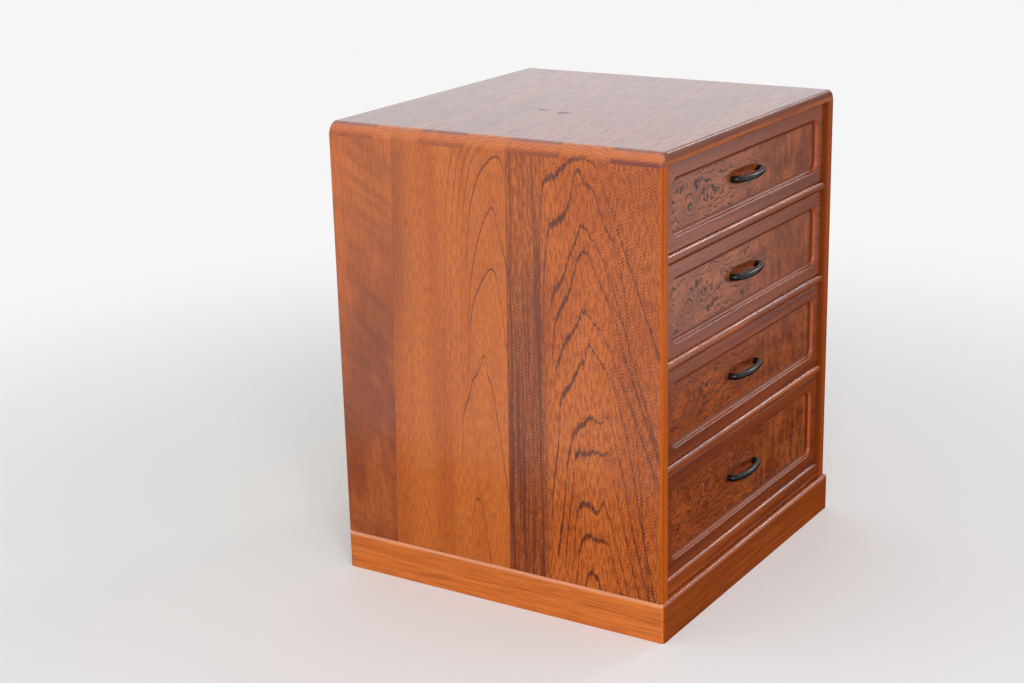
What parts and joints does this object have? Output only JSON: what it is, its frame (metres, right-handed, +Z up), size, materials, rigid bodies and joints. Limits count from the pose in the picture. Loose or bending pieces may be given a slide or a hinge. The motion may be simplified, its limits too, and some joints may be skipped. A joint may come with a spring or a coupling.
{
  "type": "drawer chest",
  "caption": "Small tabletop chest of drawers in finger-jointed hardwood, with recessed burl fronts and black iron bow pulls.",
  "frame": {"origin": "middle of the footprint, on the surface the chest stands on", "axes": "drawer fronts face -Y, +X is the right-hand side for someone in front of them, +Z is up"},
  "size_m": [0.364, 0.3464, 0.44],
  "materials": {
    "case_wood": "satin gloss lacquer",
    "front_wood": "satin gloss lacquer",
    "burl": "gloss lacquer",
    "inner_wood": "planed, unfinished",
    "iron": "satin black lacquer on forged iron",
    "steel": "satin"
  },
  "bodies": {
    "carcase": {"top_board": "case_wood", "left_side": "case_wood", "right_side": "case_wood", "back_panel": "inner_wood", "bottom_board": "inner_wood", "bottom_rail": "case_wood", "rail_1": "case_wood", "rail_2": "case_wood", "rail_3": "case_wood", "shelf_1": "inner_wood", "shelf_2": "inner_wood", "shelf_3": "inner_wood", "drawer_stops": "inner_wood", "plinth_front": "case_wood", "plinth_back": "case_wood", "plinth_left": "case_wood", "plinth_right": "case_wood", "plinth_blocks": "inner_wood"},
    "drawer_1": {"drawer_1_front": "front_wood", "drawer_1_burl": "burl", "drawer_1_left_side": "inner_wood", "drawer_1_right_side": "inner_wood", "drawer_1_back": "inner_wood", "drawer_1_bottom": "inner_wood", "drawer_1_pull": "iron", "drawer_1_screws": "steel"},
    "drawer_2": {"drawer_2_front": "front_wood", "drawer_2_burl": "burl", "drawer_2_left_side": "inner_wood", "drawer_2_right_side": "inner_wood", "drawer_2_back": "inner_wood", "drawer_2_bottom": "inner_wood", "drawer_2_pull": "iron", "drawer_2_screws": "steel"},
    "drawer_3": {"drawer_3_front": "front_wood", "drawer_3_burl": "burl", "drawer_3_left_side": "inner_wood", "drawer_3_right_side": "inner_wood", "drawer_3_back": "inner_wood", "drawer_3_bottom": "inner_wood", "drawer_3_pull": "iron", "drawer_3_screws": "steel"},
    "drawer_4": {"drawer_4_front": "front_wood", "drawer_4_burl": "burl", "drawer_4_left_side": "inner_wood", "drawer_4_right_side": "inner_wood", "drawer_4_back": "inner_wood", "drawer_4_bottom": "inner_wood", "drawer_4_pull": "iron", "drawer_4_screws": "steel"}
  },
  "joints": [
    {"name": "drawer_1_slide", "type": "slide", "parent": "carcase", "child": "drawer_1", "axis": [0, -1, 0], "range_m": [0, 0.25]},
    {"name": "drawer_2_slide", "type": "slide", "parent": "carcase", "child": "drawer_2", "axis": [0, -1, 0], "range_m": [0, 0.25]},
    {"name": "drawer_3_slide", "type": "slide", "parent": "carcase", "child": "drawer_3", "axis": [0, -1, 0], "range_m": [0, 0.25]},
    {"name": "drawer_4_slide", "type": "slide", "parent": "carcase", "child": "drawer_4", "axis": [0, -1, 0], "range_m": [0, 0.25]}
  ]
}
